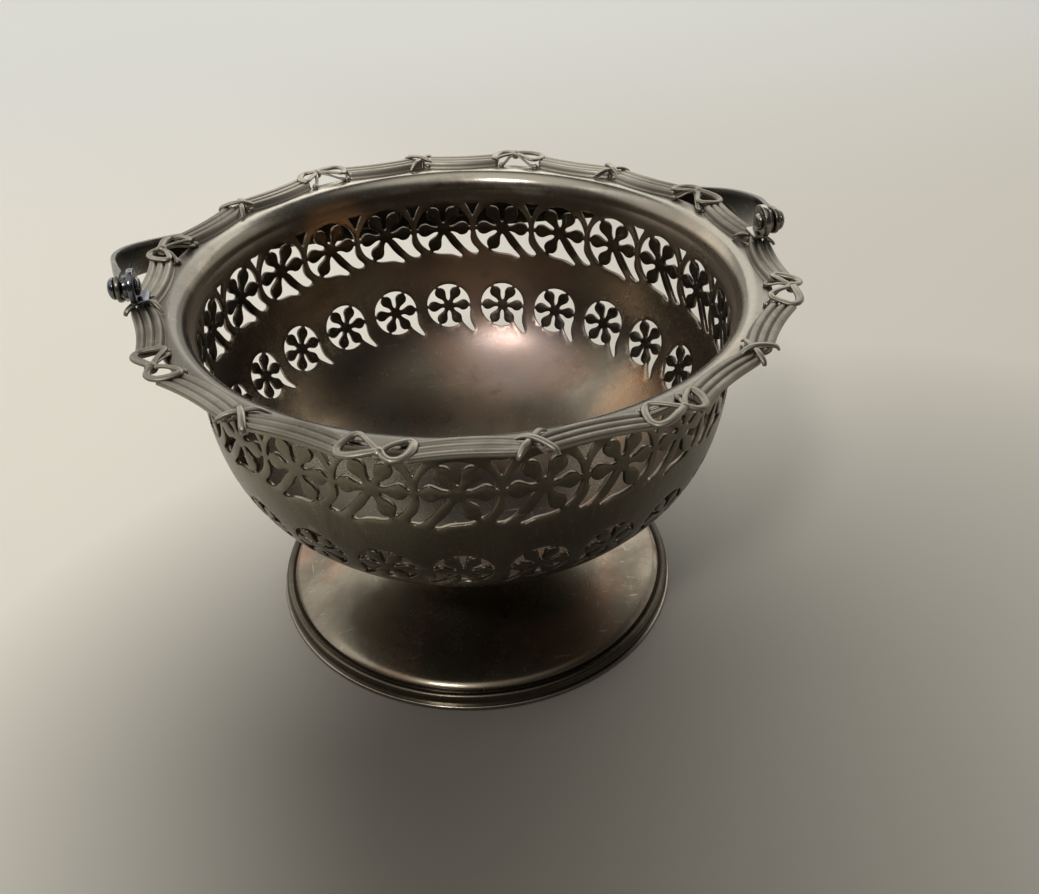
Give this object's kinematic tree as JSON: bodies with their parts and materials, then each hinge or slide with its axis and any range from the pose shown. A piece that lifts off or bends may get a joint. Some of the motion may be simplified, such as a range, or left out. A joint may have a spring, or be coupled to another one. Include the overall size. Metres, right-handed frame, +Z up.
{
  "type": "pierced swing-handle basket",
  "caption": "Round pedestal basket with a pierced bowl, a reed-and-ribbon border and a strap handle that swings over the bowl.",
  "frame": {"origin": "centre of the foot's flat underside, on the table", "axes": "+Z up, +X along the hinge pins to the right-hand rivet, +Y to the side on which the handle lies folded"},
  "size_m": [0.17, 0.1581, 0.1032],
  "materials": {
    "silver_plate": "worn silver plate, warm grey and satin, brighter on the ridges",
    "tarnished_plate": "tarnished silver plate, dark brown-grey with copper-pink patches",
    "dark_rivet": "dark bluish metal, worn bright on the dome"
  },
  "bodies": {
    "basket": {"bowl": "tarnished_plate", "rim_border_1": "silver_plate", "rim_border_2": "silver_plate", "rim_border_3": "silver_plate", "rim_border_4": "silver_plate", "rim_border_5": "silver_plate", "rim_border_6": "silver_plate", "rim_border_7": "silver_plate", "rim_border_8": "silver_plate", "foot": "tarnished_plate", "foot_wire": "silver_plate", "lug_left": "silver_plate", "lug_right": "silver_plate", "washer_left": "dark_rivet", "washer_right": "dark_rivet", "rivet_left": "dark_rivet", "rivet_right": "dark_rivet"},
    "handle": {"handle": "silver_plate"}
  },
  "joints": [
    {"name": "handle_swing", "type": "hinge", "parent": "basket", "child": "handle", "pos_m": [0, 0, 0.099], "axis": [1, 0, 0], "range_deg": [0, 214]}
  ]
}
